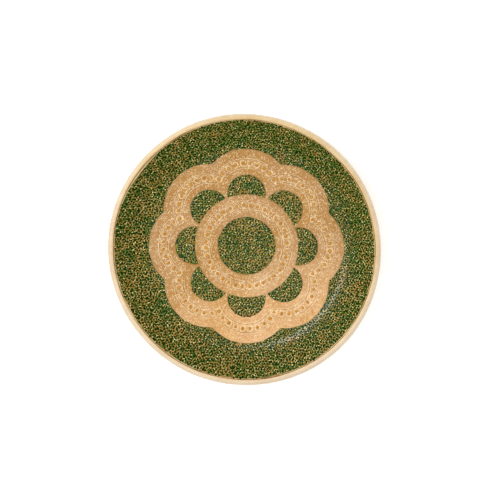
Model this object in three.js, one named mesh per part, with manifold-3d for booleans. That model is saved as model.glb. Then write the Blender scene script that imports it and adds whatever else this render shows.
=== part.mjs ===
// Hand painted earthenware plate: a thrown body with a round lip, a foot ring luted under it, and thin
// coats of coloured slip and enamel laid over the face as a flower of petals and lobes.
// Millimetres, +Z up, origin at the centre of the foot ring's resting face.
import * as THREE from 'three';
import { mergeVertices } from 'three/addons/utils/BufferGeometryUtils.js';
import Module from 'manifold-3d';

const wasm = await Module();
wasm.setup();

// The body
const PLATE_RADIUS = 150; // over the coat on the lip
const PLATE_HEIGHT = 42; // from the resting face to the top of the lip
const WALL = 6; // thickness of the thrown wall, and width of the round lip
const FLOOR_THICKNESS = 6; // at the centre of the well
const WELL_RADIUS = 107; // where the shallow well turns up into the wall
const WELL_DISH = 4; // rise of the well from its centre to its edge
const WALL_SLOPE = THREE.MathUtils.degToRad(42); // lean of the wall where it meets the lip

// The foot
const FOOT_RADIUS = 76;
const FOOT_WIDTH = 7;
const FOOT_HEIGHT = 6;
const FOOT_CHAMFER = 1;

// The coats
const COAT = 0.6; // thickness of a coat of slip or enamel
const CLEAR = 0.3; // clearance between a coat and what it lies on or beside
const LIP_INSIDE = 1.1; // how far the lip's coat runs down the inside of the wall
const LINE_WIDTH = 0.9; // painted line between the lip and the field

// The flower
const PETALS = 8;
const PETAL_CENTRE = 57.9; // distance of a petal's centre from the axis
const PETAL_GAP = 2; // between the round sides of two petals
const DISC_RADIUS = 32;
const RING_WIDTH = 25.2; // of the ring round the disc
const LOBE_WIDTH = 28.9; // of the band that follows the petals' round sides

// The beaded lines
const CHAIN_INSET = 13; // from the green edge that a beaded line follows
const CHAIN_LINE = 1.2; // width of the line that joins the beads
const CHAIN_RELIEF = 0.8;
const BEAD_RADIUS = 1.8;
const RING_BEADS = 36;
const LOBE_BEADS = 9; // along one lobe, counting one of its two ends

// Facets
const TURNS = 48; // round the axis
const WELL_STEPS = 6; // along the profile of the face, from the axis to the edge of the well
const WALL_STEPS = 8; // from there to the lip
const ARC_STEPS = 9; // along each arc of the lobed outlines
const PETAL_SIDES = 28;
const BEAD_SIDES = 6;
const LIP_STEPS = 5;

const PITCH = (2 * Math.PI) / PETALS;
const PETAL_RADIUS = PETAL_CENTRE * Math.sin(PITCH / 2) - PETAL_GAP / 2;
const RING_RADIUS = DISC_RADIUS + RING_WIDTH;
const LOBE_RADIUS = PETAL_RADIUS + LOBE_WIDTH;

// The lip is a half round on the end of the wall
const LIP_RADIUS = WALL / 2;
const LIP_CENTRE = new THREE.Vector2(
  PLATE_RADIUS - LIP_RADIUS - CLEAR - COAT,
  PLATE_HEIGHT - LIP_RADIUS - CLEAR - COAT,
);
const WALL_TOP = LIP_CENTRE.clone().add(
  new THREE.Vector2(-Math.sin(WALL_SLOPE), Math.cos(WALL_SLOPE)).multiplyScalar(LIP_RADIUS),
);
const WELL_FLOOR = FOOT_HEIGHT + FLOOR_THICKNESS;
const WELL_EDGE = WELL_FLOOR + WELL_DISH;

const LOOKS = {
  clay: { color: 0xcdb692, roughness: 0.55 },
  cream: { color: 0xe6d3b2, roughness: 0.25 },
  brown: { color: 0x6d4a24, roughness: 0.3 },
  green: { color: 0x4f5a24, roughness: 0.22 },
  buff: { color: 0xd9a974, roughness: 0.25 },
  ochre: { color: 0xc98a3a, roughness: 0.3 },
};

// Height and slope of the bare face at a distance from the axis: a parabola in the well, then a cubic
// that leaves the well at its own slope and meets the lip at the wall's
function face(radius) {
  const wellSlope = (2 * WELL_DISH) / WELL_RADIUS;
  if (radius <= WELL_RADIUS) {
    const share = radius / WELL_RADIUS;
    return { z: WELL_FLOOR + WELL_DISH * share * share, slope: wellSlope * share };
  }
  const run = WALL_TOP.x - WELL_RADIUS;
  const rise = WALL_TOP.y - WELL_EDGE;
  const t = (radius - WELL_RADIUS) / run;
  const start = wellSlope * run;
  const end = Math.tan(WALL_SLOPE) * run;
  const square = 3 * rise - 2 * start - end;
  const cube = start + end - 2 * rise;
  return {
    z: WELL_EDGE + t * (start + t * (square + t * cube)),
    slope: (start + t * (2 * square + 3 * t * cube)) / run,
  };
}

// A point of the face, lifted off it by a distance
function lifted(radius, lift) {
  const { z, slope } = face(radius);
  const length = Math.hypot(slope, 1);
  return new THREE.Vector2(Math.max(0, radius - (slope / length) * lift), z + lift / length);
}

// Points along the face from one radius to another. Every profile bends at the same radii, so that
// the facets of a coat run parallel to those of the body below it.
function along(from, to, lift) {
  const bends = [];
  for (let step = 1; step <= WELL_STEPS; step += 1) {
    bends.push((WELL_RADIUS * step) / WELL_STEPS);
  }
  for (let step = 1; step < WALL_STEPS; step += 1) {
    bends.push(WELL_RADIUS + ((WALL_TOP.x - WELL_RADIUS) * step) / WALL_STEPS);
  }
  const between = bends.filter((radius) => radius > from && radius < to);
  return [from, ...between, to].map((radius) => lifted(radius, lift));
}

// Points round the lip, from the inside of the wall over the top to the outside
function roundLip(radius) {
  const points = [];
  for (let step = 0; step <= LIP_STEPS; step += 1) {
    const angle = Math.PI / 2 + WALL_SLOPE - (Math.PI * step) / LIP_STEPS;
    points.push(
      new THREE.Vector2(Math.cos(angle), Math.sin(angle)).multiplyScalar(radius).add(LIP_CENTRE),
    );
  }
  return points;
}

// A profile of (distance from the axis, height) turned about +Z. A profile that doesn't start on the
// axis is closed on itself. It runs anticlockwise, with the axis on its left.
function turned(profile) {
  const points = profile[0].x === 0 ? profile : [...profile, profile[0].clone()];
  return new THREE.LatheGeometry(points, TURNS).rotateX(Math.PI / 2);
}

function solid(geometry) {
  const bare = geometry.clone();
  bare.deleteAttribute('normal');
  bare.deleteAttribute('uv');
  const merged = mergeVertices(bare, 1e-4);
  return new wasm.Manifold(
    new wasm.Mesh({
      numProp: 3,
      vertProperties: new Float32Array(merged.attributes.position.array),
      triVerts: new Uint32Array(merged.index.array),
    }),
  );
}

function geometryOf(manifold) {
  const { vertProperties, triVerts } = manifold.getMesh();
  const geometry = new THREE.BufferGeometry();
  geometry.setAttribute('position', new THREE.BufferAttribute(vertProperties, 3));
  geometry.setIndex(new THREE.BufferAttribute(triVerts, 1));
  geometry.computeVertexNormals();
  return geometry;
}

// A sheet that follows the face between two radii, from one lift to another
function sheet(from, to, low, high) {
  return turned([...along(from, to, low), ...along(from, to, high).reverse()]);
}

// A tall cutter of an outline seen from above
function cutter(outline) {
  const tall = new THREE.ExtrudeGeometry(outline, {
    depth: 2 * PLATE_HEIGHT,
    bevelEnabled: false,
    curveSegments: ARC_STEPS,
  });
  return solid(tall.translate(0, 0, -PLATE_HEIGHT));
}

function disc(x, y, radius, sides) {
  const centre = new THREE.Vector2(x, y);
  const points = [];
  for (let side = 0; side < sides; side += 1) {
    const angle = (2 * Math.PI * side) / sides;
    const arm = new THREE.Vector2(Math.cos(angle), Math.sin(angle));
    points.push(arm.multiplyScalar(radius).add(centre));
  }
  return new THREE.Shape(points);
}

function petalPlace(index) {
  const angle = Math.PI / 2 - PITCH * index;
  return { angle, x: PETAL_CENTRE * Math.cos(angle), y: PETAL_CENTRE * Math.sin(angle) };
}

// Half the angle, at a petal's centre, between the two cusps where its arc meets its neighbours' arcs
function halfSweep(radius) {
  const across = PETAL_CENTRE * Math.sin(PITCH / 2);
  const toCusp = Math.sqrt(radius * radius - across * across);
  return PITCH / 2 + Math.atan2(across, toCusp);
}

// The outline of arcs drawn round every petal's centre
function lobedOutline(radius) {
  const sweep = halfSweep(radius);
  const outline = new THREE.Shape();
  for (let index = 0; index < PETALS; index += 1) {
    const { angle, x, y } = petalPlace(index);
    outline.absarc(x, y, radius, angle + sweep, angle - sweep, true);
  }
  outline.closePath();
  return outline;
}

const group = new THREE.Group();

function add(name, look, geometry) {
  const material = new THREE.MeshStandardMaterial({ ...LOOKS[look], metalness: 0 });
  const mesh = new THREE.Mesh(geometry, material);
  mesh.name = name;
  group.add(mesh);
}

// The thrown body: flat under the foot ring, then the wall's thickness below the face
function plateBody() {
  const underside = along(WELL_RADIUS, WALL_TOP.x, -WALL);
  const lip = roundLip(LIP_RADIUS);
  return turned([
    new THREE.Vector2(0, FOOT_HEIGHT),
    new THREE.Vector2(FOOT_RADIUS, FOOT_HEIGHT),
    ...underside.slice(0, -1),
    ...lip.reverse(),
    ...along(0, WALL_TOP.x, 0).slice(0, -1).reverse(),
  ]);
}

function footRing() {
  const inside = FOOT_RADIUS - FOOT_WIDTH;
  return turned([
    new THREE.Vector2(inside, FOOT_HEIGHT),
    new THREE.Vector2(inside, FOOT_CHAMFER),
    new THREE.Vector2(inside + FOOT_CHAMFER, 0),
    new THREE.Vector2(FOOT_RADIUS - FOOT_CHAMFER, 0),
    new THREE.Vector2(FOOT_RADIUS, FOOT_CHAMFER),
    new THREE.Vector2(FOOT_RADIUS, FOOT_HEIGHT),
  ]);
}

const LOW = CLEAR;
const HIGH = CLEAR + COAT;
const LIP_START = WALL_TOP.x - LIP_INSIDE;
const LINE_START = LIP_START - CLEAR - LINE_WIDTH;
const FIELD_END = LINE_START - CLEAR;

// The lip's coat runs from just inside the wall over the half round to its outside
function lipCoat() {
  return turned([
    lifted(LIP_START, LOW),
    ...roundLip(LIP_RADIUS + LOW),
    ...roundLip(LIP_RADIUS + HIGH).reverse(),
    lifted(LIP_START, HIGH),
  ]);
}

add('plate_body', 'clay', plateBody());
add('foot_ring', 'clay', footRing());
add('lip_coat', 'cream', lipCoat());
add('lip_line', 'brown', sheet(LINE_START, LINE_START + LINE_WIDTH, LOW, HIGH));

// The outer field lies between the lobes and the line
const field = solid(sheet(RING_RADIUS, FIELD_END, LOW, HIGH));
add('outer_field', 'green', geometryOf(field.subtract(cutter(lobedOutline(LOBE_RADIUS)))));

// The lobed band holds the petals, whose inner ends the ring cuts off
const roundRing = solid(sheet(RING_RADIUS + CLEAR, FIELD_END, LOW, HIGH));
let lobes = roundRing.intersect(cutter(lobedOutline(LOBE_RADIUS - CLEAR)));
for (let index = 0; index < PETALS; index += 1) {
  const { x, y } = petalPlace(index);
  const petal = cutter(disc(x, y, PETAL_RADIUS, PETAL_SIDES));
  const hole = cutter(disc(x, y, PETAL_RADIUS + CLEAR, PETAL_SIDES));
  add(`petal_${index + 1}`, 'green', geometryOf(roundRing.intersect(petal)));
  lobes = lobes.subtract(hole);
}
add('lobed_band', 'buff', geometryOf(lobes));
add('ring_band', 'buff', sheet(DISC_RADIUS + CLEAR, RING_RADIUS, LOW, HIGH));
add('centre_disc', 'green', sheet(0, DISC_RADIUS, LOW, HIGH));

// The beaded lines stand on the buff bands
const CHAIN_LOW = HIGH + CLEAR;
const CHAIN_HIGH = CHAIN_LOW + CHAIN_RELIEF;

function beadedLine(line, beads) {
  let plan = line;
  for (const bead of beads) {
    plan = plan.add(cutter(disc(bead.x, bead.y, BEAD_RADIUS, BEAD_SIDES)));
  }
  return geometryOf(plan.intersect(solid(sheet(DISC_RADIUS, FIELD_END, CHAIN_LOW, CHAIN_HIGH))));
}

function ringChain() {
  const radius = DISC_RADIUS + CHAIN_INSET;
  const outer = cutter(disc(0, 0, radius + CHAIN_LINE / 2, TURNS));
  const line = outer.subtract(cutter(disc(0, 0, radius - CHAIN_LINE / 2, TURNS)));
  const beads = [];
  for (let bead = 0; bead < RING_BEADS; bead += 1) {
    const angle = (2 * Math.PI * bead) / RING_BEADS;
    beads.push({ x: radius * Math.cos(angle), y: radius * Math.sin(angle) });
  }
  return beadedLine(line, beads);
}

function lobeChain() {
  const radius = PETAL_RADIUS + CHAIN_INSET;
  const outer = cutter(lobedOutline(radius + CHAIN_LINE / 2));
  const line = outer.subtract(cutter(lobedOutline(radius - CHAIN_LINE / 2)));
  const sweep = halfSweep(radius);
  const beads = [];
  for (let index = 0; index < PETALS; index += 1) {
    const { angle, x, y } = petalPlace(index);
    for (let bead = 0; bead < LOBE_BEADS; bead += 1) {
      const turn = angle + sweep - (2 * sweep * bead) / LOBE_BEADS;
      beads.push({ x: x + radius * Math.cos(turn), y: y + radius * Math.sin(turn) });
    }
  }
  return beadedLine(line, beads);
}

add('ring_bead_line', 'ochre', ringChain());
add('lobe_bead_line', 'ochre', lobeChain());

export default group;
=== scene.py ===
"""A hand painted earthenware plate, put together in the order a potter and a painter work: the thrown body,
its foot, the cream slip, the buff and green coats, then the brushwork and the raised drops. Metres, +Z up."""

import math

import bmesh
import bpy
import numpy as np
from mathutils import Matrix, Vector


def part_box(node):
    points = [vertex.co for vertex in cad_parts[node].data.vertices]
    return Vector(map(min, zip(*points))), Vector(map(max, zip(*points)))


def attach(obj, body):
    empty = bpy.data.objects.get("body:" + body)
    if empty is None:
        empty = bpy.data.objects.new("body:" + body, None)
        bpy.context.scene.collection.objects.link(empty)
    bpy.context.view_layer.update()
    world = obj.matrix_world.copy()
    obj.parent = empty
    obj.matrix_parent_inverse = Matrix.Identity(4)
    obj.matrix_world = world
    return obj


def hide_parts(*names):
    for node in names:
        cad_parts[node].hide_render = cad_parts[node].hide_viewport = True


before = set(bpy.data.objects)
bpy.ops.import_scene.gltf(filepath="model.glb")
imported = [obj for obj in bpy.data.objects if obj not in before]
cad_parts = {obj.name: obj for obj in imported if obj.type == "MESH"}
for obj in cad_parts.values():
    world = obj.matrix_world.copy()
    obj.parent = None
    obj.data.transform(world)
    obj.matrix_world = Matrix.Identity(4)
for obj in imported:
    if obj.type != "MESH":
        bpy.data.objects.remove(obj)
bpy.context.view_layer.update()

# ---------------------------------------------------------------------------------------------------------
# Thrown body
# A shallow dish thrown on the wheel from buff earthenware, with a half round lip. Its underside keeps the
# soft ridges of the potter's fingers, under a thin clear glaze with iron specks.
# ---------------------------------------------------------------------------------------------------------
MM = 0.001
PLATE_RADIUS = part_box("lip_coat")[1][0]
PLATE_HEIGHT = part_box("lip_coat")[1][2]
FOOT_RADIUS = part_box("foot_ring")[1][0]
FOOT_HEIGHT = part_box("foot_ring")[1][2]
WALL = 6 * MM
FLOOR_THICKNESS = 6 * MM
WELL_RADIUS = 107 * MM
WELL_DISH = 4 * MM
WALL_SLOPE = math.radians(42)
COATS = 0.9 * MM  # all the coats together, over the bare clay
TURNS = 420
THROWING_RIDGE = 0.22 * MM
RIDGE_PITCH = 6.5 * MM
LIP_STEPS = 18
LEAN = (-0.7 * MM, -1.8 * MM)  # of the lip, off the middle of the foot
OUT_OF_ROUND = 0.0022  # of the lip, as a share of its radius
LIP_DIP = 0.35 * MM  # the lip's rise and fall

LIP_RADIUS = WALL / 2
LIP_X = PLATE_RADIUS - LIP_RADIUS - COATS
LIP_Z = PLATE_HEIGHT - LIP_RADIUS - COATS
WALL_TOP_X = LIP_X - LIP_RADIUS * math.sin(WALL_SLOPE)
WALL_TOP_Z = LIP_Z + LIP_RADIUS * math.cos(WALL_SLOPE)
WELL_FLOOR = FOOT_HEIGHT + FLOOR_THICKNESS


def face_height(radius):
    """Height of the bare face, and its slope: a parabola in the well, then a cubic up to the lip."""
    run = WALL_TOP_X - WELL_RADIUS
    rise = WALL_TOP_Z - WELL_FLOOR - WELL_DISH
    start = 2 * WELL_DISH / WELL_RADIUS * run
    end = math.tan(WALL_SLOPE) * run
    square = 3 * rise - 2 * start - end
    cube = start + end - 2 * rise
    share = np.minimum(radius / WELL_RADIUS, 1)
    t = np.maximum(radius - WELL_RADIUS, 0) / run
    well = WELL_FLOOR + WELL_DISH * share**2
    height = well + t * (start + t * (square + t * cube))
    slope = np.where(
        radius < WELL_RADIUS,
        2 * WELL_DISH / WELL_RADIUS * share,
        (start + t * (2 * square + 3 * t * cube)) / run,
    )
    return height, slope


def wander(angles, waves, seed):
    """A smooth closed wobble between about -1 and 1, as a hand leaves it round the plate."""
    draw = np.random.default_rng(seed)
    total = np.zeros_like(angles)
    for wave in waves:
        total = total + np.cos(wave * angles + draw.uniform(0, 2 * np.pi))
    return total / math.sqrt(len(waves))


def by_hand(points):
    """Leans the turned form a little out of true towards its lip, and leaves the foot as it is."""
    x, y, z = points[..., 0], points[..., 1], points[..., 2]
    angles = np.arctan2(y, x)
    out = np.clip((np.hypot(x, y) - FOOT_RADIUS) / (PLATE_RADIUS - FOOT_RADIUS), 0, 1) ** 2
    swell = 1 + out * OUT_OF_ROUND * wander(angles, (2, 3, 5), 11)
    dip = out * LIP_DIP * wander(angles, (2, 3), 12)
    return np.stack([x * swell + out * LEAN[0], y * swell + out * LEAN[1], z + dip], axis=-1)


def on_face(x, y, lift):
    """Points at a height over the bare face, as the potter left it."""
    radius = np.hypot(x, y)
    height, slope = face_height(radius)
    length = np.hypot(slope, 1)
    inward = 1 - slope / length * lift / np.maximum(radius, MM)
    return by_hand(np.stack([x * inward, y * inward, height + lift / length], axis=-1))


def mesh_object(name, points, *face_sets):
    """An object from an array of points and arrays of faces, each array with one number of corners."""
    mesh = bpy.data.meshes.new(name)
    mesh.vertices.add(len(points))
    mesh.vertices.foreach_set("co", np.asarray(points, dtype=np.float32).ravel())
    corners = np.concatenate([faces.ravel() for faces in face_sets]).astype(np.int32)
    sizes = np.concatenate([np.full(len(faces), faces.shape[1]) for faces in face_sets])
    mesh.loops.add(len(corners))
    mesh.loops.foreach_set("vertex_index", corners)
    mesh.polygons.add(len(sizes))
    starts = np.concatenate([[0], np.cumsum(sizes)[:-1]]).astype(np.int32)
    mesh.polygons.foreach_set("loop_start", starts)
    mesh.update(calc_edges=True)
    mesh.polygons.foreach_set("use_smooth", np.ones(len(sizes), dtype=bool))
    mesh.set_sharp_from_angle(angle=math.radians(50))
    piece = bpy.data.objects.new(name, mesh)
    bpy.context.scene.collection.objects.link(piece)
    return piece


def weld(piece):
    """Joins points that lie on each other, and drops what has no area."""
    work = bmesh.new()
    work.from_mesh(piece.data)
    bmesh.ops.remove_doubles(work, verts=work.verts, dist=1e-6)
    bmesh.ops.dissolve_degenerate(work, edges=work.edges, dist=1e-7)
    bmesh.ops.recalc_face_normals(work, faces=work.faces)
    work.to_mesh(piece.data)
    work.free()


def grid_faces(rows, columns, start=0, closed=True):
    """Four cornered faces over a grid of points, joined round its columns if closed."""
    across = columns if closed else columns - 1
    row, column = np.meshgrid(np.arange(rows - 1), np.arange(across), indexing="ij")
    row, column = row.ravel(), column.ravel()
    beside = (column + 1) % columns
    corners = [row * columns + column, row * columns + beside]
    corners += [(row + 1) * columns + beside, (row + 1) * columns + column]
    return np.stack(corners, axis=1) + start


def turned(name, profile):
    """A closed profile of (distance, height) turned about +Z, with the hand's wobble."""
    angles = np.linspace(0, 2 * np.pi, TURNS, endpoint=False)
    profile = np.asarray(profile)
    x = profile[:, :1] * np.cos(angles)
    y = profile[:, :1] * np.sin(angles)
    z = np.broadcast_to(profile[:, 1:], x.shape)
    points = by_hand(np.stack([x, y, z], axis=-1)).reshape(-1, 3)
    piece = mesh_object(name, points, grid_faces(len(profile), TURNS))
    weld(piece)
    return piece


def raised_face(radii, lift):
    """The profile of the face at these distances, raised by a lift."""
    height, slope = face_height(radii)
    length = np.hypot(slope, 1)
    return np.stack([np.maximum(radii - slope / length * lift, 0), height + lift / length], axis=1)


def round_lip(radius):
    """The half round of the lip, from the inside of the wall to its outside."""
    angles = math.pi / 2 + WALL_SLOPE - np.linspace(0, math.pi, LIP_STEPS)
    return np.stack([LIP_X + radius * np.cos(angles), LIP_Z + radius * np.sin(angles)], axis=1)


def place(piece, finish, slot, *nodes):
    """The piece gets its finish, rides on the plate, and may stand for solids of the frame. The slot is not
    used.
    """
    piece.data.materials.append(finish)
    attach(piece, "root")
    if nodes:
        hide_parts(*nodes)


def node(tree, kind, inputs=None, **settings):
    """A shader node with its settings, and each input set to a value or linked from a socket."""
    made = tree.nodes.new(kind)
    for name, value in settings.items():
        setattr(made, name, value)
    for name, value in (inputs or {}).items():
        if isinstance(value, bpy.types.NodeSocket):
            tree.links.new(value, made.inputs[name])
        else:
            made.inputs[name].default_value = value
    return made


def new_group(name, inputs, outputs):
    """An empty shader node group with named inputs and outputs, and its two end nodes."""
    group = bpy.data.node_groups.new(name, "ShaderNodeTree")
    for label, kind, value in inputs:
        socket = group.interface.new_socket(label, in_out="INPUT", socket_type=kind)
        socket.default_value = value
    for label, kind in outputs:
        group.interface.new_socket(label, in_out="OUTPUT", socket_type=kind)
    return group, group.nodes.new("NodeGroupInput"), group.nodes.new("NodeGroupOutput")


def math_node(tree, operation, first, second):
    made = node(tree, "ShaderNodeMath", operation=operation)
    for socket, value in zip(made.inputs, (first, second), strict=False):
        if isinstance(value, bpy.types.NodeSocket):
            tree.links.new(value, socket)
        else:
            socket.default_value = value
    return made.outputs[0]


def blend_colours(tree, mask, first, second):
    """A mix of two colours by a mask, each a socket or a colour."""
    made = node(tree, "ShaderNodeMix", data_type="RGBA")
    ends = {0: mask, 6: first, 7: second}
    for index, value in ends.items():
        if isinstance(value, bpy.types.NodeSocket):
            tree.links.new(value, made.inputs[index])
        else:
            made.inputs[index].default_value = (*value, 1) if isinstance(value, tuple) else value
    return made.outputs[2]


def soft_step(tree, value, low, high):
    """0 below low, 1 above high and smooth between."""
    ends = {"Value": value, "From Min": low, "From Max": high}
    made = node(tree, "ShaderNodeMapRange", ends, interpolation_type="SMOOTHSTEP")
    return made.outputs["Result"]


def mottling_group():
    """Uneven colour at two sizes, as thin slip and brushed enamel dry: broad clouds and fine grain."""
    group, given, out = new_group(
        "Mottling",
        [("Cloud Scale", "NodeSocketFloat", 60.0), ("Grain Scale", "NodeSocketFloat", 900.0)],
        [("Clouds", "NodeSocketFloat"), ("Grain", "NodeSocketFloat")],
    )
    where = node(group, "ShaderNodeTexCoord").outputs["Object"]
    clouds = node(group, "ShaderNodeTexNoise", {"Vector": where, "Detail": 4.0, "Roughness": 0.55})
    grain = node(group, "ShaderNodeTexNoise", {"Vector": where, "Detail": 3.0, "Roughness": 0.6})
    group.links.new(given.outputs["Cloud Scale"], clouds.inputs["Scale"])
    group.links.new(given.outputs["Grain Scale"], grain.inputs["Scale"])
    group.links.new(soft_step(group, clouds.outputs["Fac"], 0.34, 0.66), out.inputs["Clouds"])
    group.links.new(soft_step(group, grain.outputs["Fac"], 0.34, 0.66), out.inputs["Grain"])
    return group


def glaze_group():
    """The skin of a dipped glaze: slow ripples, fine orange peel, and duller and glossier patches."""
    group, given, out = new_group(
        "Glaze skin",
        [("Gloss Low", "NodeSocketFloat", 0.16), ("Gloss High", "NodeSocketFloat", 0.34)],
        [("Roughness", "NodeSocketFloat"), ("Height", "NodeSocketFloat")],
    )
    where = node(group, "ShaderNodeTexCoord").outputs["Object"]
    ripple = node(group, "ShaderNodeTexNoise", {"Vector": where, "Scale": 70.0, "Detail": 2.0})
    peel = node(group, "ShaderNodeTexNoise", {"Vector": where, "Scale": 620.0, "Detail": 2.0})
    patches = node(group, "ShaderNodeTexNoise", {"Vector": where, "Scale": 38.0, "Detail": 5.0})
    mask = soft_step(group, patches.outputs["Fac"], 0.35, 0.65)
    spread = node(group, "ShaderNodeMapRange")
    group.links.new(mask, spread.inputs["Value"])
    group.links.new(given.outputs["Gloss Low"], spread.inputs["To Min"])
    group.links.new(given.outputs["Gloss High"], spread.inputs["To Max"])
    group.links.new(spread.outputs["Result"], out.inputs["Roughness"])
    fine = math_node(group, "MULTIPLY", peel.outputs["Fac"], 0.22)
    group.links.new(math_node(group, "ADD", fine, ripple.outputs["Fac"]), out.inputs["Height"])
    return group


MOTTLING = mottling_group()
GLAZE = glaze_group()


def glazed_material(name, gloss=(0.28, 0.42), bump=0.12 * MM, coat=0.44, shine=0.06):
    """A material with the glaze's skin on it. Gives the material, its tree and its Principled node."""
    material = bpy.data.materials.new(name)
    material.use_nodes = True
    tree = material.node_tree
    shader = tree.nodes["Principled BSDF"]
    skin = node(tree, "ShaderNodeGroup", node_tree=GLAZE)
    skin.inputs["Gloss Low"].default_value = gloss[0]
    skin.inputs["Gloss High"].default_value = gloss[1]
    relief = node(tree, "ShaderNodeBump", {"Distance": bump, "Height": skin.outputs["Height"]})
    tree.links.new(relief.outputs["Normal"], shader.inputs["Normal"])
    tree.links.new(skin.outputs["Roughness"], shader.inputs["Roughness"])
    shader.inputs["IOR"].default_value = 1.5
    shader.inputs["Specular IOR Level"].default_value = shine
    shader.inputs["Coat Weight"].default_value = coat
    shader.inputs["Coat Roughness"].default_value = 0.12
    return material, tree, shader


def mottled_colour(tree, deep, plain, pale, cloud_scale, grain_scale):
    """Colour from deep to plain by broad clouds, with pale grain in it."""
    spots = node(tree, "ShaderNodeGroup", node_tree=MOTTLING)
    spots.inputs["Cloud Scale"].default_value = cloud_scale
    spots.inputs["Grain Scale"].default_value = grain_scale
    base = blend_colours(tree, spots.outputs["Clouds"], deep, plain)
    share = math_node(tree, "MULTIPLY", spots.outputs["Grain"], 0.5)
    return blend_colours(tree, share, base, pale)


def underside_glaze():
    skin = {"gloss": (0.2, 0.42), "bump": 0.3 * MM, "coat": 0.2, "shine": 0.5}
    material, tree, shader = glazed_material("clear glaze on buff clay", **skin)
    clay = mottled_colour(tree, (0.32, 0.208, 0.112), (0.44, 0.312, 0.184), (0.496, 0.384, 0.256), 26, 420)
    where = node(tree, "ShaderNodeTexCoord").outputs["Object"]
    specks = node(tree, "ShaderNodeTexVoronoi", {"Vector": where, "Scale": 210.0, "Randomness": 1.0})
    rare = node(tree, "ShaderNodeTexNoise", {"Vector": where, "Scale": 120.0, "Detail": 1.0})
    near = math_node(tree, "LESS_THAN", specks.outputs["Distance"], 0.13)
    some = math_node(tree, "GREATER_THAN", rare.outputs["Fac"], 0.56)
    iron = math_node(tree, "MULTIPLY", near, some)
    tree.links.new(blend_colours(tree, iron, clay, (0.09, 0.045, 0.02)), shader.inputs["Base Color"])
    return material


def thrown_body():
    inside = np.linspace(0, WALL_TOP_X, 90)
    outside = np.linspace(WELL_RADIUS, WALL_TOP_X, 40)
    under = raised_face(outside, -WALL)
    foot_side = np.linspace(FOOT_RADIUS + MM, under[0, 0], 14, endpoint=False)
    share = (foot_side - FOOT_RADIUS) / (under[0, 0] - FOOT_RADIUS)
    ramp = np.stack([foot_side, FOOT_HEIGHT + (under[0, 1] - FOOT_HEIGHT) * share**1.5], axis=1)
    below = np.concatenate([ramp, under[:-1]])
    below[:, 1] -= THROWING_RIDGE * (0.5 + 0.5 * np.cos(2 * np.pi * below[:, 0] / RIDGE_PITCH))
    recess = np.stack([np.linspace(0, FOOT_RADIUS, 30), np.full(30, FOOT_HEIGHT)], axis=1)
    recess[:, 1] += THROWING_RIDGE * (0.5 + 0.5 * np.cos(2 * np.pi * recess[:, 0] / (2 * RIDGE_PITCH)))
    profile = np.concatenate([recess, below, round_lip(LIP_RADIUS)[::-1], raised_face(inside[:-1], 0)[::-1]])
    return turned("thrown_body", profile)


body = thrown_body()
place(body, underside_glaze(), "fired_clay", "plate_body")

# ---------------------------------------------------------------------------------------------------------
# Foot ring
# A ring of the same clay, luted under the leather hard body and turned true. Its resting face is wiped free
# of glaze, so the bare clay shows there with the marks of the turning tool.
# ---------------------------------------------------------------------------------------------------------
FOOT_WIDTH = 7 * MM
FOOT_ROUND = 1.4 * MM
TOOL_MARK = 0.05 * MM
TOOL_PITCH = 1.3 * MM


def foot_ring():
    middle = FOOT_RADIUS - FOOT_WIDTH / 2
    half = FOOT_WIDTH / 2
    corner = np.linspace(0, math.pi / 2, 8)
    round_x = half - FOOT_ROUND * (1 - np.sin(corner))
    round_z = FOOT_ROUND * (1 - np.cos(corner))
    flat = np.linspace(-0.8, 0.8, 13) * (half - FOOT_ROUND)
    tool = TOOL_MARK * (1 + np.cos(flat * 2 * np.pi / TOOL_PITCH))
    outer = np.stack([middle + round_x, round_z], axis=1)
    inner = np.stack([middle - round_x, round_z], axis=1)[::-1]
    base = np.stack([middle + flat, tool], axis=1)
    top = FOOT_HEIGHT + 0.2 * MM
    spread = np.array([[middle + half + 1.2 * MM, top], [middle + half + 0.3 * MM, FOOT_HEIGHT - 0.9 * MM]])
    lute = np.array([[middle - half - 0.3 * MM, FOOT_HEIGHT - 0.9 * MM], [middle - half - 1.2 * MM, top]])
    ring = np.concatenate([lute[::-1], inner, base, outer, spread[::-1]])
    return turned("foot_ring_turned", np.concatenate([ring, ring[:1]]))


def bare_clay():
    material = bpy.data.materials.new("bare fired clay")
    material.use_nodes = True
    tree = material.node_tree
    shader = tree.nodes["Principled BSDF"]
    colour = mottled_colour(tree, (0.30, 0.15, 0.075), (0.42, 0.24, 0.13), (0.52, 0.34, 0.20), 90, 1300)
    grit = node(tree, "ShaderNodeTexNoise", {"Scale": 2400.0, "Detail": 4.0})
    tree.links.new(node(tree, "ShaderNodeTexCoord").outputs["Object"], grit.inputs["Vector"])
    relief = node(tree, "ShaderNodeBump", {"Distance": 0.25 * MM, "Height": grit.outputs["Fac"]})
    rough = node(tree, "ShaderNodeMapRange", {"Value": grit.outputs["Fac"], "To Min": 0.7, "To Max": 0.95})
    tree.links.new(colour, shader.inputs["Base Color"])
    tree.links.new(relief.outputs["Normal"], shader.inputs["Normal"])
    tree.links.new(rough.outputs["Result"], shader.inputs["Roughness"])
    return material


foot = foot_ring()
place(foot, bare_clay(), "foot_clay", "foot_ring")

# ---------------------------------------------------------------------------------------------------------
# Cream slip
# A cream slip poured over the whole face and rolled over the lip, where it stays bare of colour. It runs a
# little way down the outside and stops there in an uneven edge.
# ---------------------------------------------------------------------------------------------------------
SLIP = (0.05 * MM, 0.45 * MM)  # its lower and upper side, over the bare clay
LIP_BEAD = 0.9 * MM  # the slip is thickest over the lip
APRON = 7 * MM  # how far it runs down the outside
APRON_END = 0.15 * MM  # its thickness there
SWELL_START = 4 * MM  # before the lip, where the slip starts to thicken
SWELL_RUN = 3 * MM
BLUSH = (5.5 * MM, 2.2 * MM)  # in from the rim, where ivory turns to blush


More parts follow.
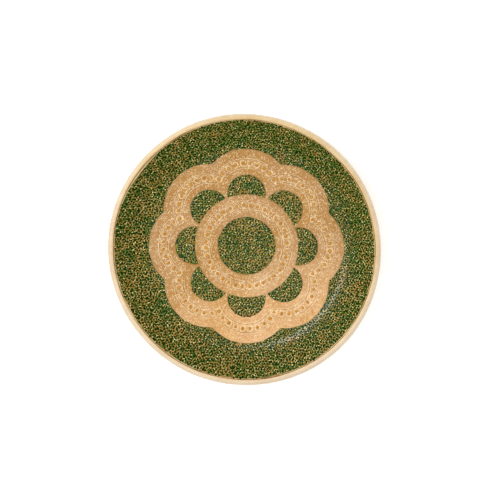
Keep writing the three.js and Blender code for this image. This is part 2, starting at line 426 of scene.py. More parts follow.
def cream_slip():
    radii = np.linspace(0, WALL_TOP_X, 70)
    outside = np.linspace(WALL_TOP_X, WALL_TOP_X - APRON, 8)[1:]
    swell = np.clip((radii - WALL_TOP_X + SWELL_START) / SWELL_RUN, 0, 1)
    thickness = SLIP[1] + (LIP_BEAD - SLIP[1]) * swell
    over = np.concatenate([raised_face(radii, thickness), round_lip(LIP_RADIUS + LIP_BEAD)])
    taper = np.linspace(LIP_BEAD, APRON_END, len(outside))
    apron_over = raised_face(outside, -WALL - taper)
    apron_under = raised_face(outside, -WALL - SLIP[0])[::-1]
    under = np.concatenate([round_lip(LIP_RADIUS + SLIP[0])[::-1], raised_face(radii, SLIP[0])[::-1]])
    return turned("cream_slip", np.concatenate([over, apron_over, apron_under, under]))


def cream_glaze():
    skin = {"gloss": (0.2, 0.36), "bump": 0.1 * MM, "coat": 0.1, "shine": 0.2}
    material, tree, shader = glazed_material("cream glaze", **skin)
    where = node(tree, "ShaderNodeTexCoord").outputs["Object"]
    apart = node(tree, "ShaderNodeSeparateXYZ", {"Vector": where})
    across = math_node(tree, "POWER", apart.outputs["X"], 2.0)
    along = math_node(tree, "POWER", apart.outputs["Y"], 2.0)
    radius = math_node(tree, "SQRT", math_node(tree, "ADD", across, along), 0.0)
    outer = soft_step(tree, radius, PLATE_RADIUS - BLUSH[0], PLATE_RADIUS - BLUSH[1])
    ivory = mottled_colour(tree, (0.364, 0.247, 0.112), (0.415, 0.306, 0.155), (0.459, 0.363, 0.218), 45, 500)
    blush = mottled_colour(tree, (0.386, 0.296, 0.193), (0.423, 0.34, 0.235), (0.46, 0.392, 0.30), 45, 500)
    tree.links.new(blend_colours(tree, outer, ivory, blush), shader.inputs["Base Color"])
    return material


slip = cream_slip()
place(slip, cream_glaze(), "cream_glaze", "lip_coat")

# ---------------------------------------------------------------------------------------------------------
# Buff bands
# Two bands of warm buff slip laid on the cream: a ring round the middle, and a wide band whose outer edge is
# drawn as eight lobes. The colour is thin, so it dries rosy here and ochre there. It is also painted paler
# towards one side, as painted light that stands in for more light falling there.
# ---------------------------------------------------------------------------------------------------------
PETALS = 8
PITCH = 2 * math.pi / PETALS
PETAL_CENTRE = 57.9 * MM
PETAL_RADIUS = PETAL_CENTRE * math.sin(PITCH / 2) - 1.0 * MM
LOBE_RADIUS = PETAL_RADIUS + 28.9 * MM
DISC_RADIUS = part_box("centre_disc")[1][0]
RING_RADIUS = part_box("ring_band")[1][0]
BUFF = (SLIP[1], 0.66 * MM)
BRUSH_GAP = 0.12 * MM  # between two colours, where the cream shows as a hair line
EDGE_ROUND = 0.35 * MM  # over which a coat thins out at its edge
EDGE_WAVES = (9, 14, 23, 37, 58)
FINE_WAVES = (71, 96, 128, 170)
PETAL_STEPS = 86  # along the round side of a petal
PAINTED_LIGHT_SIDE = (0.26, -0.97)  # painted light: the side towards which the buff is painted paler, for more light falling there


def fold_angle(angles):
    """The angle to the middle of the nearest petal."""
    return (angles - math.pi / 2 + PITCH / 2) % PITCH - PITCH / 2


def arc_edge(angles, radius):
    """How far out the arc of this radius round the nearest petal's centre reaches."""
    aside = PETAL_CENTRE * np.sin(fold_angle(angles))
    return PETAL_CENTRE * np.cos(fold_angle(angles)) + np.sqrt(np.maximum(radius**2 - aside**2, 0))


def hand_edge(angles, seed, size=0.22 * MM):
    """The small in and out of an edge that is drawn with a brush."""
    return size * (wander(angles, EDGE_WAVES, seed) + 0.6 * wander(angles, FINE_WAVES, seed + 1))


def petal_turns():
    """Angles from a petal's middle that follow its round side in even steps, from end to end."""
    ring = (RING_RADIUS**2 - PETAL_CENTRE**2 - PETAL_RADIUS**2) / (2 * PETAL_CENTRE * PETAL_RADIUS)
    turn = np.linspace(-math.acos(ring), math.acos(ring), PETAL_STEPS)
    return np.arctan2(PETAL_RADIUS * np.sin(turn), PETAL_CENTRE + PETAL_RADIUS * np.cos(turn))


def round_angles():
    """Angles round the plate, close together where the petals' sides run outwards."""
    local = petal_turns()
    cusp = np.linspace(local[-1], PITCH - local[-1], 5)[1:-1]
    one = np.concatenate([local, cusp])
    return np.concatenate([math.pi / 2 + PITCH * k + one for k in range(PETALS)])


def coat(name, angles, inner, outer, rows, span, closed=True):
    """A thin closed coat over the face, between two edges given at each angle, rounded off at both."""
    fringe = np.array([0, 0.004, 0.01, 0.018])
    share = np.concatenate([fringe, np.linspace(0.03, 0.97, rows), 1 - fringe[::-1]])[:, None]
    radius = inner + (outer - inner) * share
    edge = np.minimum(radius - inner, outer - radius)
    swell = 0.3 + 0.7 * np.sqrt(np.clip(edge / EDGE_ROUND, 0, 1))
    x, y = radius * np.cos(angles), radius * np.sin(angles)
    top = on_face(x, y, span[0] + (span[1] - span[0]) * swell).reshape(-1, 3)
    bottom = on_face(x, y, np.full_like(x, span[0])).reshape(-1, 3)
    count, columns = radius.shape
    upper = grid_faces(count, columns, 0, closed)
    lower = grid_faces(count, columns, len(top), closed)[:, ::-1]
    step = np.arange(columns if closed else columns - 1)
    beside = (step + 1) % columns
    last = (count - 1) * columns
    under = len(top)
    inside = np.stack([beside, step, step + under, beside + under], axis=1)
    outside = np.stack([step, beside, beside + under, step + under], axis=1) + last
    sides = [inside, outside]
    if not closed:
        row = np.arange(count - 1) * columns
        right = row + columns - 1
        sides.append(np.stack([row, row + columns, row + columns + under, row + under], axis=1))
        sides.append(np.stack([right, right + under, right + columns + under, right + columns], axis=1))
    piece = mesh_object(name, np.concatenate([top, bottom]), upper, lower, *sides)
    weld(piece)
    return piece


def buff_slip():
    material, tree, shader = glazed_material("buff slip under glaze")
    warm = mottled_colour(tree, (0.211, 0.097, 0.022), (0.247, 0.126, 0.037), (0.335, 0.205, 0.078), 55, 640)
    rosy = mottled_colour(tree, (0.224, 0.109, 0.037), (0.259, 0.139, 0.057), (0.352, 0.228, 0.106), 55, 720)
    where = node(tree, "ShaderNodeTexCoord").outputs["Object"]
    wash = node(tree, "ShaderNodeTexNoise", {"Vector": where, "Scale": 24.0, "Detail": 3.0})
    patches = soft_step(tree, wash.outputs["Fac"], 0.4, 0.62)
    # Painted light: towards one side the buff is painted paler and a little less saturated, standing in for
    # more light there.
    apart = node(tree, "ShaderNodeSeparateXYZ", {"Vector": where})
    across = math_node(tree, "MULTIPLY", apart.outputs["X"], PAINTED_LIGHT_SIDE[0])
    along = math_node(tree, "MULTIPLY", apart.outputs["Y"], PAINTED_LIGHT_SIDE[1])
    painted_light_mask = soft_step(tree, math_node(tree, "ADD", across, along), 0.0, 0.95 * WELL_RADIUS)
    colour = blend_colours(tree, patches, warm, rosy)
    painted_light_inputs = {"Color": colour, "Fac": painted_light_mask, "Saturation": 0.93, "Value": 1.58}
    paler = node(tree, "ShaderNodeHueSaturation", painted_light_inputs)
    tree.links.new(paler.outputs["Color"], shader.inputs["Base Color"])
    return material


ANGLES = round_angles()
BUFF_PAINT = buff_slip()
DISC_EDGE = DISC_RADIUS + hand_edge(ANGLES, 21)
RING_EDGE = RING_RADIUS + hand_edge(ANGLES, 23)
LOBE_EDGE = arc_edge(ANGLES, LOBE_RADIUS) + hand_edge(ANGLES, 25)

ring = coat("buff_ring", ANGLES, DISC_EDGE + BRUSH_GAP, RING_EDGE, 22, BUFF)
lobes = coat("buff_lobes", ANGLES, RING_EDGE + BRUSH_GAP, LOBE_EDGE, 34, BUFF)
for band, solid in ((ring, "ring_band"), (lobes, "lobed_band")):
    place(band, BUFF_PAINT, "buff_slip", solid)

# ---------------------------------------------------------------------------------------------------------
# Green grounds
# Dark green enamel fills the middle, the eight petals and the wide field up to the lip, as the ground for
# the flowers. It is brushed on in short dabs, so it runs from near black to moss, with brown clouds.
# ---------------------------------------------------------------------------------------------------------
GREEN = (SLIP[1], 0.85 * MM)
PETAL_GREEN = (BUFF[1] - 0.02 * MM, 0.85 * MM)
FIELD_EDGE = 143.45 * MM
SHORT_EDGE = 1.7 * MM  # the field stops short of the line for a stretch at the upper left
SHORT_MIDDLE = math.radians(141)
SHORT_SPREAD = math.radians(9)


def green_enamel():
    material, tree, shader = glazed_material("green enamel", bump=0.14 * MM)
    greens = ((0.0086, 0.029, 0.0028), (0.027, 0.056, 0.007), (0.079, 0.104, 0.021))
    browns = ((0.055, 0.042, 0.007), (0.117, 0.081, 0.0168), (0.195, 0.138, 0.035))
    moss = mottled_colour(tree, *greens, 75, 620)
    umber = mottled_colour(tree, *browns, 75, 620)
    where = node(tree, "ShaderNodeTexCoord").outputs["Object"]
    clouds = node(tree, "ShaderNodeTexNoise", {"Vector": where, "Scale": 62.0, "Detail": 3.0})
    patches = soft_step(tree, clouds.outputs["Fac"], 0.46, 0.62)
    ground = blend_colours(tree, patches, moss, umber)
    dabs_of_green = node(tree, "ShaderNodeTexVoronoi", {"Vector": where, "Scale": 420.0})
    deep = soft_step(tree, dabs_of_green.outputs["Distance"], 0.20, 0.42)
    tree.links.new(blend_colours(tree, deep, (0.003, 0.02, 0.001), ground), shader.inputs["Base Color"])
    return material


GREEN_PAINT = green_enamel()
SHORTENED = np.exp(-(((ANGLES - SHORT_MIDDLE + math.pi) % (2 * math.pi) - math.pi) / SHORT_SPREAD) ** 2)
FIELD_OUTER = FIELD_EDGE + hand_edge(ANGLES, 27, 0.12 * MM) - SHORT_EDGE * SHORTENED

field = coat("green_field", ANGLES, LOBE_EDGE + BRUSH_GAP, FIELD_OUTER, 36, GREEN)
middle = coat("green_middle", ANGLES, np.zeros_like(ANGLES), DISC_EDGE, 26, GREEN)
grounds = [(field, "outer_field"), (middle, "centre_disc")]
for index in range(PETALS):
    around = math.pi / 2 - PITCH * index + petal_turns()
    foot_edge = np.interp(around, ANGLES, RING_EDGE, period=2 * math.pi)
    round_edge = arc_edge(around, PETAL_RADIUS) + hand_edge(around, 31 + index, 0.18 * MM)
    round_edge = np.maximum(round_edge, foot_edge + BRUSH_GAP)
    petal = coat(
        f"green_petal_{index + 1}", around, foot_edge + BRUSH_GAP, round_edge, 14, PETAL_GREEN, closed=False
    )
    grounds.append((petal, f"petal_{index + 1}"))
for ground, solid in grounds:
    place(ground, GREEN_PAINT, "green_enamel", solid)

# ---------------------------------------------------------------------------------------------------------
# Brown line
# One thin brown line, drawn with a loaded brush while the plate turned, closes the field against the lip.
# It swells and thins as the brush empties and is filled again.
# ---------------------------------------------------------------------------------------------------------
LINE_MIDDLE = 144.1 * MM
LINE_WIDTH = 0.85 * MM
LINE_WANDER = 0.12 * MM
LINE_SWELL = 0.35  # of its width
LINE = (0.80 * MM, 1.06 * MM)


def brown_line_paint():
    material, tree, shader = glazed_material("brown line", bump=0.05 * MM)
    colour = mottled_colour(tree, (0.10, 0.045, 0.012), (0.20, 0.095, 0.028), (0.34, 0.18, 0.07), 30, 300)
    tree.links.new(colour, shader.inputs["Base Color"])
    return material


def brown_line():
    path = LINE_MIDDLE + LINE_WANDER * wander(ANGLES, (2, 5, 9), 41)
    half = LINE_WIDTH / 2 * (1 + LINE_SWELL * wander(ANGLES, (3, 7, 13, 22), 42))
    return coat("brown_line", ANGLES, path - half, path + half, 3, LINE)


line = brown_line()
place(line, brown_line_paint(), "brown_line", "lip_line")

# ---------------------------------------------------------------------------------------------------------
# Flowers of the green grounds
# Thousands of small flowers cover the green, each a dark heart ringed with dabs of tan, moss or cream, with
# brighter dots between. Every dab is a drop of enamel that stands a little proud under the glaze.
# ---------------------------------------------------------------------------------------------------------
FLOWER_PITCH = 3.1 * MM
FLOWER_PETALS = 5
FLOWER_REACH = 1.55 * MM  # from its heart to its petals
DAB_LONG = (1.25, 1.95)  # mm, the least and the most
DAB_WIDE = (0.8, 1.15)
DAB_RISE = (0.14, 0.22)
LEFT_OUT = 0.12  # of the petals, which the painter skips
CREAM_SHARE = 0.11  # of the petals
PAINTED_LIGHT_CREAM = 0.14  # painted light: more cream petals out towards one side, standing in for more light there
TAN_FROM = 0.5  # above this shade a petal is tan, below it moss
TAN_BY_PATCH = 0.14
TAN_BY_SIDE = 0.1
HEART_SIZE = 2.5 * MM
HEART_RISE = 0.16 * MM
HEART_RINGS = ((1.0, 0.0), (0.85, 0.7))
DOT_PITCH = 3.0 * MM
DOT_SHARE = 0.2  # of the places for dots that get one
DOT_SIZES = (0.8, 1.3)
DOT_RISE = 0.24 * MM
DAB_FLOOR = GREEN[1] - 0.06 * MM
TOP_FLOOR = DAB_FLOOR + 0.08 * MM  # of hearts and dots, which lie over the petals
EDGE_MARGIN = 0.75 * MM
SHAKE = 0.3  # of a pitch, either way


def scattered(pitch, reach, seed):
    """Places over a disc, about a pitch apart, on staggered rows shaken by hand."""
    draw = np.random.default_rng(seed)
    count = int(reach / pitch * 1.2) + 2
    column, row = np.meshgrid(np.arange(-count, count + 1), np.arange(-count, count + 1))
    x = ((column + 0.5 * (row % 2)) * pitch).ravel()
    y = (row * pitch * math.sin(math.pi / 3)).ravel()
    x = x + draw.uniform(-SHAKE, SHAKE, len(x)) * pitch
    y = y + draw.uniform(-SHAKE, SHAKE, len(y)) * pitch
    keep = np.hypot(x, y) < reach
    return x[keep], y[keep]


def in_field(x, y, margin):
    radius, angles = np.hypot(x, y), np.arctan2(y, x) % (2 * math.pi)
    short = np.exp(-((angles - SHORT_MIDDLE) / SHORT_SPREAD) ** 2)
    within = radius < FIELD_EDGE - SHORT_EDGE * short - margin
    return within & (radius > arc_edge(angles, LOBE_RADIUS) + margin)


def in_petals(x, y, margin):
    radius, angles = np.hypot(x, y), np.arctan2(y, x)
    from_centre = np.hypot(
        radius * np.cos(fold_angle(angles)) - PETAL_CENTRE, radius * np.sin(fold_angle(angles))
    )
    return (from_centre < PETAL_RADIUS - margin) & (radius > RING_RADIUS + margin)


def in_middle(x, y, margin):
    return np.hypot(x, y) < DISC_RADIUS - margin


def drops(name, x, y, turn, length, width, floor, height, rings=((1.0, 0.0),), sides=6):
    """Closed drops of enamel at many places. Each ring is its share of the outline and of the height."""
    around = np.linspace(0, 2 * np.pi, sides, endpoint=False)
    levels = []
    for share, rise in rings:
        u = np.cos(around) * length[:, None] / 2 * share
        v = np.sin(around) * width[:, None] / 2 * share
        px = x[:, None] + u * np.cos(turn)[:, None] - v * np.sin(turn)[:, None]
        py = y[:, None] + u * np.sin(turn)[:, None] + v * np.cos(turn)[:, None]
        levels.append(on_face(px, py, floor + height[:, None] * rise))
    levels.append(on_face(x, y, floor + height)[:, None])
    points = np.concatenate(levels, axis=1)
    first = np.arange(len(x))[:, None] * points.shape[1]
    step = np.arange(sides)
    beside = (step + 1) % sides
    walls = []
    for ring in range(len(rings) - 1):
        low, high = ring * sides, (ring + 1) * sides
        quad = np.stack([low + step, low + beside, high + beside, high + step], axis=1)
        walls.append((first[:, :, None] + quad[None]).reshape(-1, 4))
    last = (len(rings) - 1) * sides
    crown = np.stack([last + step, last + beside, np.full(sides, last + sides)], axis=1)
    crown = (first[:, :, None] + crown[None]).reshape(-1, 3)
    base = first + step[::-1][None]
    return mesh_object(name, points.reshape(-1, 3), crown, base, *walls)


def enamel(name, deep, plain, pale, grain_scale=330.0):
    """Paint for small dabs: its colour changes from dab to dab, as the brush is filled again."""
    material, tree, shader = glazed_material(name, gloss=(0.26, 0.42), bump=0.03 * MM)
    colour = mottled_colour(tree, deep, plain, pale, 130.0, grain_scale)
    tree.links.new(colour, shader.inputs["Base Color"])
    return material


TAN = enamel("tan enamel", (0.26, 0.118, 0.014), (0.43, 0.22, 0.036), (0.60, 0.36, 0.10))
CREAM = enamel("cream enamel", (0.386, 0.322, 0.111), (0.589, 0.497, 0.212), (0.736, 0.662, 0.374))
MOSS = enamel("moss enamel", (0.018, 0.073, 0.0042), (0.048, 0.13, 0.0098), (0.128, 0.205, 0.032))
NIGHT = enamel(
    "darkest green enamel", (0.0006, 0.01, 0.0003), (0.0012, 0.016, 0.0004), (0.0045, 0.027, 0.001)
)


def tan_lean(x, y):
    """How much a place leans to tan: patch by patch, and a little from one side of the plate to the other."""
    clump = np.sin(95 * x + 2 * np.sin(60 * y)) * np.cos(80 * y + 2 * np.sin(75 * x))
    return TAN_BY_PATCH * clump - TAN_BY_SIDE * (0.8 * x + 0.6 * y) / PLATE_RADIUS


def painted_light_cream_share(x, y):
    """How many more petals are cream out towards one side of the plate: painted light, for more light falling
    there.
    """
    return PAINTED_LIGHT_CREAM * np.clip((x - y) / math.sqrt(2) / PLATE_RADIUS, 0, 1) ** 3


def flowers(zone, name, seed, reach):
    """The hearts, petals and dots of one green ground, each paint a piece of its own."""
    draw = np.random.default_rng(seed)
    fx, fy = scattered(FLOWER_PITCH, reach, seed + 1)
    turn = draw.uniform(0, 2 * np.pi, len(fx))
    size = draw.uniform(0.85, 1.2, len(fx))
    step = np.arange(FLOWER_PETALS) * 2 * np.pi / FLOWER_PETALS
    arm = turn[:, None] + step + draw.normal(0, 0.2, (len(fx), FLOWER_PETALS))
    out = (FLOWER_REACH * size)[:, None] * draw.uniform(0.85, 1.15, arm.shape)
    px, py = (fx[:, None] + out * np.cos(arm)).ravel(), (fy[:, None] + out * np.sin(arm)).ravel()
    shade = draw.uniform(0, 1, len(px))
    # Painted light: petals turn cream more often towards one side, so that side reads brighter.
    cream = shade < CREAM_SHARE + painted_light_cream_share(px, py)
    tan = shade + tan_lean(px, py) > TAN_FROM
    kept = zone(px, py, EDGE_MARGIN) & (draw.uniform(0, 1, len(px)) > LEFT_OUT)
    across = arm.ravel() + np.pi / 2
    long = draw.uniform(*DAB_LONG, len(px)) * MM
    wide = draw.uniform(*DAB_WIDE, len(px)) * MM
    paints = ((CREAM, cream, "cream"), (MOSS, ~cream & ~tan, "moss"), (TAN, ~cream & tan, "tan"))
    for paint, chosen, label in paints:
        pick = kept & chosen
        piece = drops(
            f"{name}_{label}_petals", px[pick], py[pick], across[pick], long[pick], wide[pick],
            DAB_FLOOR, draw.uniform(*DAB_RISE, int(pick.sum())) * MM,
        )
        place(piece, paint, "green_enamel")
    hearts = zone(fx, fy, EDGE_MARGIN)
    long = HEART_SIZE * size[hearts]
    wide = long * draw.uniform(0.7, 0.95, len(long))
    piece = drops(
        f"{name}_hearts", fx[hearts], fy[hearts], turn[hearts], long, wide,
        TOP_FLOOR, np.full(len(wide), HEART_RISE), HEART_RINGS, 7,
    )
    place(piece, NIGHT, "green_enamel")
    dx, dy = scattered(DOT_PITCH, reach, seed + 3)
    dot = zone(dx, dy, EDGE_MARGIN) & (draw.uniform(0, 1, len(dx)) < DOT_SHARE)
    dx, dy = dx[dot], dy[dot]
    wide = draw.uniform(*DOT_SIZES, len(dx)) * MM
    flat = np.zeros(len(dx))
    piece = drops(f"{name}_dots", dx, dy, flat, wide, wide, TOP_FLOOR, flat + DOT_RISE)
    place(piece, CREAM, "green_enamel")


flowers(in_field, "field", 100, FIELD_EDGE)
flowers(in_petals, "petal", 200, PETAL_CENTRE + PETAL_RADIUS)
flowers(in_middle, "middle", 300, DISC_RADIUS)

# ---------------------------------------------------------------------------------------------------------
# Beaded chains of the buff bands
# A row of fat ochre drops runs along each buff band, every drop in a loop of cream line, with small cream
# and ochre dots where the loops meet, and a pencilled line on either side.
# ---------------------------------------------------------------------------------------------------------
CHAIN_INSET = 13 * MM
RING_CHAIN = DISC_RADIUS + CHAIN_INSET
LOBE_CHAIN = PETAL_RADIUS + CHAIN_INSET
RING_BEADS = 36
LOBE_BEADS = 9
BUFF_TOP = BUFF[1]
DROP_RINGS = ((1.0, 0.0), (0.93, 0.42), (0.72, 0.78), (0.4, 0.96))
BEAD_SIZES = (3.3, 4.6)  # mm, the least and the most
BEAD_SHAKE = 0.22 * MM
BEAD_RISE = 0.4 * MM
SMALL_DOT_RISE = 0.3 * MM
LOOP_GAP = 0.6 * MM  # from a bead to the line round it
SCALLOP_RADIUS = 3.9 * MM
INNER_DOTS = -3.1 * MM  # from the chain, outwards
OUTER_DOTS = 2.7 * MM
SMALL_LOOP = 1.25 * MM
LACE_FLOOR = BUFF_TOP - 0.03 * MM
DOT_FLOOR = BUFF_TOP - 0.04 * MM


def ribbons(name, x, y, width, floor, height):
    """Brush lines along many paths, each a closed ridge that tapers at both ends."""
    along_x, along_y = np.gradient(x, axis=1), np.gradient(y, axis=1)
    step = np.hypot(along_x, along_y)
    side_x, side_y = -along_y / step, along_x / step
    left = on_face(x + side_x * width / 2, y + side_y * width / 2, floor)
    right = on_face(x - side_x * width / 2, y - side_y * width / 2, floor)
    crest = on_face(x, y, floor + height)
    count, stations = x.shape
    points = np.stack([left, crest, right], axis=2).reshape(count, -1, 3)
    first = np.arange(count)[:, None, None] * stations * 3
    row = np.arange(stations - 1)[:, None] * 3
    quads = np.concatenate(
        [row + np.array([1, 0, 3, 4]), row + np.array([2, 1, 4, 5]), row + np.array([0, 2, 5, 3])]
    )
    ends = np.array([[0, 1, 2], np.array([2, 1, 0]) + (stations - 1) * 3])
    return mesh_object(
        name, points.reshape(-1, 3), (first + quads[None]).reshape(-1, 4), (first + ends[None]).reshape(-1, 3)
    )


def arcs(name, x, y, radius, start, sweep, width, floor, height, stations):
    """Short curved brush lines round many centres."""
    share = np.linspace(0, 1, stations)
    turn = start[:, None] + sweep[:, None] * share
    taper = 0.25 + 0.75 * np.sin(np.pi * share) ** 0.5
    px = x[:, None] + radius[:, None] * np.cos(turn)
    py = y[:, None] + radius[:, None] * np.sin(turn)
    return ribbons(name, px, py, width[:, None] * taper, floor, height * taper)


def ring_beads(offset=0.0):
    """Where the ring's beads sit, and which way is outwards there. An offset of 0.5 is between two."""
    turn = np.linspace(0, 2 * np.pi, RING_BEADS, endpoint=False) + math.radians(4)
    turn = turn + offset * 2 * math.pi / RING_BEADS
    return RING_CHAIN * np.cos(turn), RING_CHAIN * np.sin(turn), turn


def lobe_sweep(radius):
    """How far an arc of this radius runs to either side of a lobe's middle, until it meets the next."""
    across = PETAL_CENTRE * math.sin(PITCH / 2)
    return PITCH / 2 + math.atan2(across, math.sqrt(radius**2 - across**2))


def lobe_beads(offset=0.0):
    """Where the lobes' beads sit, and which way is outwards there."""
    sweep = lobe_sweep(LOBE_CHAIN)
    x, y, out = [], [], []
    for index in range(PETALS):
        middle = math.pi / 2 - PITCH * index
        turn = middle + sweep - 2 * sweep * (np.arange(LOBE_BEADS) + offset) / LOBE_BEADS
        x.append(PETAL_CENTRE * math.cos(middle) + LOBE_CHAIN * np.cos(turn))
        y.append(PETAL_CENTRE * math.sin(middle) + LOBE_CHAIN * np.sin(turn))
        out.append(turn)
    return np.concatenate(x), np.concatenate(y), np.concatenate(out)


OCHRE = enamel("ochre enamel", (0.245, 0.10, 0.012), (0.31, 0.145, 0.022), (0.38, 0.20, 0.045), 260.0)
LACE = enamel("cream line", (0.43, 0.30, 0.14), (0.55, 0.42, 0.245), (0.65, 0.56, 0.40), 260.0)
PENCIL = enamel("pencilled line", (0.122, 0.058, 0.018), (0.18, 0.092, 0.033), (0.259, 0.143, 0.054), 260.0)


def chain(name, solid, beads, between, seed):
    """One beaded row: fat drops in cream loops, and small dots where the loops meet."""
    draw = np.random.default_rng(seed)
    x, y, out = beads
    count = len(x)
    x, y = x + draw.normal(0, BEAD_SHAKE, count), y + draw.normal(0, BEAD_SHAKE, count)
    size = draw.uniform(*BEAD_SIZES, count) * MM
    fat = drops(
        f"{name}_beads", x, y, out, size, size * draw.uniform(0.86, 1.0, count), BUFF_TOP - 0.05 * MM,
        np.full(count, BEAD_RISE), DROP_RINGS, 14,
    )
    place(fat, OCHRE, "ochre_enamel", solid)
    start = draw.uniform(0, 2 * np.pi, count)
    loops = arcs(
        f"{name}_loops", x, y, size / 2 + LOOP_GAP, start, np.full(count, 5.6),
        draw.uniform(0.55, 0.8, count) * MM, LACE_FLOOR, 0.16 * MM, 16,
    )
    scallops = arcs(
        f"{name}_scallops", np.tile(x, 2), np.tile(y, 2), np.full(2 * count, SCALLOP_RADIUS),
        np.concatenate([out - 0.95, out + math.pi - 0.8]),
        np.concatenate([np.full(count, 1.9), np.full(count, 1.6)]),
        draw.uniform(0.45, 0.75, 2 * count) * MM, LACE_FLOOR, 0.14 * MM, 9,
    )
    bx, by, bout = between
    tall = np.full(len(bx), SMALL_DOT_RISE)
    inner = drops(
        f"{name}_inner_dots", bx + INNER_DOTS * np.cos(bout), by + INNER_DOTS * np.sin(bout), bout,
        draw.uniform(0.9, 1.3, len(bx)) * MM, draw.uniform(0.8, 1.1, len(bx)) * MM,
        DOT_FLOOR, tall, DROP_RINGS[::2], 8,
    )
    for piece in (loops, scallops, inner):
        place(piece, LACE, "buff_slip")
    outer_x, outer_y = bx + OUTER_DOTS * np.cos(bout), by + OUTER_DOTS * np.sin(bout)
    outer = drops(
        f"{name}_outer_dots", outer_x, outer_y, bout, draw.uniform(1.2, 1.7, len(bx)) * MM,
        draw.uniform(1.1, 1.5, len(bx)) * MM, DOT_FLOOR, tall, DROP_RINGS[::2], 8,
    )
    place(outer, OCHRE, "ochre_enamel")
    rings = arcs(
        f"{name}_small_loops", outer_x, outer_y, np.full(len(bx), SMALL_LOOP), draw.uniform(0, 6, len(bx)),
        np.full(len(bx), 5.4), np.full(len(bx), 0.4 * MM), LACE_FLOOR, 0.12 * MM, 10,
    )
    place(rings, LACE, "buff_slip")


chain("ring", "ring_bead_line", ring_beads(), ring_beads(0.5), 400)
chain("lobe", "lobe_bead_line", lobe_beads(), lobe_beads(0.5), 500)

# ---------------------------------------------------------------------------------------------------------
# Lines and scrolls of the buff bands
# Thin lines are pencilled on both sides of each chain, and the rest of the buff is worked over with small
# cream and ochre scrolls, so pale that they read as lace.
# ---------------------------------------------------------------------------------------------------------
LINE_OFFSETS = (-4.9 * MM, 4.7 * MM)
DOUBLE_LINE = 0.75 * MM  # between a pencilled line and the cream one beyond it
LINE_SHAKE = 0.12 * MM
RING_STROKES = 9  # that a line round the ring is drawn in
LINE_RISE = 0.1 * MM
SCROLL_PITCH = 2.2 * MM
SCROLL_MARGIN = 1.3 * MM  # kept clear along the edges of the buff
PALE_SHARE = 0.6  # of the scrolls


def in_buff(x, y, margin):
    radius, angles = np.hypot(x, y), np.arctan2(y, x)
    inside = (radius > DISC_RADIUS + margin) & (radius < arc_edge(angles, LOBE_RADIUS) - margin)
    return inside & ~in_petals(x, y, -margin)


def ring_lines(radius, draw):
    """A line round the ring, drawn in strokes that nearly meet."""
    start = np.linspace(0, 2 * np.pi, RING_STROKES, endpoint=False) + draw.uniform(0, 0.1, RING_STROKES)
    sweep = np.full(RING_STROKES, 2 * np.pi / RING_STROKES * 0.97)
    zero = np.zeros(RING_STROKES)
    return zero, zero, radius + draw.normal(0, LINE_SHAKE, RING_STROKES), start, sweep


def lobe_lines(radius, draw):
    """A line along the lobes, one arc for each."""
    sweep = lobe_sweep(radius)
    middle = math.pi / 2 - PITCH * np.arange(PETALS)
    wide = radius + draw.normal(0, LINE_SHAKE, PETALS)
    x, y = PETAL_CENTRE * np.cos(middle), PETAL_CENTRE * np.sin(middle)
    return x, y, wide, middle - sweep * 0.99, np.full(PETALS, 2 * sweep * 0.99)


def pencilled():
    draw = np.random.default_rng(600)
    for label, paint, shift in (("pencil", PENCIL, 0.0), ("cream", LACE, DOUBLE_LINE)):
        for side, offset in zip(("inner", "outer"), LINE_OFFSETS, strict=True):
            away = offset + math.copysign(shift, offset)
            ring_path = ring_lines(RING_CHAIN + away, draw)
            lobe_path = lobe_lines(LOBE_CHAIN + away, draw)
            for band, path, stations in (("ring", ring_path, 24), ("lobe", lobe_path, 60)):
                width = draw.uniform(0.45, 0.7, len(path[0])) * MM
                piece = arcs(f"{band}_{side}_{label}_line", *path, width, LACE_FLOOR, LINE_RISE, stations)
                place(piece, paint, "buff_slip")


def scrolls():
    draw = np.random.default_rng(700)
    x, y = scattered(SCROLL_PITCH, LOBE_RADIUS + PETAL_CENTRE, 701)
    keep = in_buff(x, y, SCROLL_MARGIN)
    x, y = x[keep], y[keep]
    pale = draw.uniform(0, 1, len(x)) < PALE_SHARE
    for label, paint, mask in (("cream", LACE, pale), ("ochre", OCHRE, ~pale)):
        count = int(mask.sum())
        piece = arcs(
            f"{label}_scrolls", x[mask], y[mask], draw.uniform(0.7, 1.3, count) * MM,
            draw.uniform(0, 2 * np.pi, count), draw.uniform(2.0, 4.2, count),
            draw.uniform(0.4, 0.68, count) * MM, LACE_FLOOR, LINE_RISE, 6,
        )
        place(piece, paint, "buff_slip")


pencilled()
scrolls()

# ---------------------------------------------------------------------------------------------------------
# Table, light and camera
# A plain white table in a white room, with one soft lamp at the upper left, seen from almost straight above.
# ---------------------------------------------------------------------------------------------------------
TABLE_SIZE = 12.0
ROOM_GLOW = ((0.0, 0.2), (0.3, 1.0), (0.85, 1.0), (0.95, 0.25))  # against how far up one looks
ROOM_STRENGTH = 1.8
LAMP_PLACE = (-0.58, 0.3, 1.4)
LAMP_SIZE = (0.8, 0.58)
LAMP_POWER = 16.0
LAMP_COLOUR = (1.0, 0.98, 0.95)
CAMERA_TILT = math.radians(8.5)
CAMERA_SIDE = math.radians(33)  # clockwise from +Y
CAMERA_LENS = 200
FRAME_WIDTH = 0.5362  # of the view, at the height of the lip
AIM_RIGHT = 0.27 * MM
AIM_UP = 4.06 * MM


def table():
    half = TABLE_SIZE / 2
    corners = np.array([[-half, -half, 0], [half, -half, 0], [half, half, 0], [-half, half, 0]])
    piece = mesh_object("table", corners, np.array([[0, 1, 2, 3]]))
    material = bpy.data.materials.new("white table")
    material.use_nodes = True
    shader = material.node_tree.nodes["Principled BSDF"]
    shader.inputs["Base Color"].default_value = (0.97, 0.97, 0.97, 1)
    shader.inputs["Roughness"].default_value = 0.9
    shader.inputs["Specular IOR Level"].default_value = 0.1
    piece.data.materials.append(material)


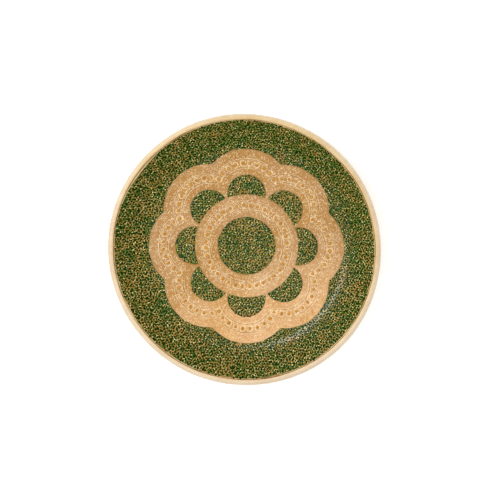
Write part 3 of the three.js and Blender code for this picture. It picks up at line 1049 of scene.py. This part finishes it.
def soft_lamp():
    lamp = bpy.data.lights.new("key", "AREA")
    lamp.shape = "RECTANGLE"
    lamp.size, lamp.size_y = LAMP_SIZE
    lamp.energy = LAMP_POWER
    lamp.color = LAMP_COLOUR
    holder = bpy.data.objects.new("key", lamp)
    holder.location = LAMP_PLACE
    holder.rotation_mode = "QUATERNION"
    holder.rotation_quaternion = (-Vector(LAMP_PLACE)).to_track_quat("-Z", "Y")
    holder.visible_camera = False
    bpy.context.scene.collection.objects.link(holder)


def room():
    """White walls between a dim skirting and a dark ceiling."""
    world = bpy.data.worlds.new("room")
    world.use_nodes = True
    tree = world.node_tree
    towards = node(tree, "ShaderNodeTexCoord").outputs["Generated"]
    up = node(tree, "ShaderNodeSeparateXYZ", {"Vector": towards}).outputs["Z"]
    walls = node(tree, "ShaderNodeValToRGB", {"Fac": up})
    ramp = walls.color_ramp
    for _ in range(len(ROOM_GLOW) - 2):
        ramp.elements.new(0.5)
    for element, (height, glow) in zip(ramp.elements, ROOM_GLOW, strict=True):
        element.position = height
        element.color = (glow, glow, glow, 1)
    sky = tree.nodes["Background"]
    tree.links.new(walls.outputs["Color"], sky.inputs["Color"])
    sky.inputs["Strength"].default_value = ROOM_STRENGTH
    world.cycles_visibility.glossy = False  # only the lamp and the table show in the glaze
    bpy.context.scene.world = world


def camera():
    back = Vector((math.sin(CAMERA_SIDE), math.cos(CAMERA_SIDE), 0)) * math.sin(CAMERA_TILT)
    back.z = math.cos(CAMERA_TILT)
    up = (Vector((0, 1, 0)) - back * back.y).normalized()
    right = up.cross(back)
    data = bpy.data.cameras.new("camera")
    data.lens = CAMERA_LENS
    data.clip_end = 20
    holder = bpy.data.objects.new("camera", data)
    distance = FRAME_WIDTH * data.lens / data.sensor_width
    aim = Vector((0, 0, LIP_Z)) + right * AIM_RIGHT + up * AIM_UP
    holder.location = aim + back * distance
    holder.rotation_mode = "QUATERNION"
    holder.rotation_quaternion = Matrix((right, up, back)).transposed().to_quaternion()
    bpy.context.scene.collection.objects.link(holder)
    bpy.context.scene.camera = holder


table()
room()
soft_lamp()
camera()
bpy.context.scene.view_settings.view_transform = "Standard"
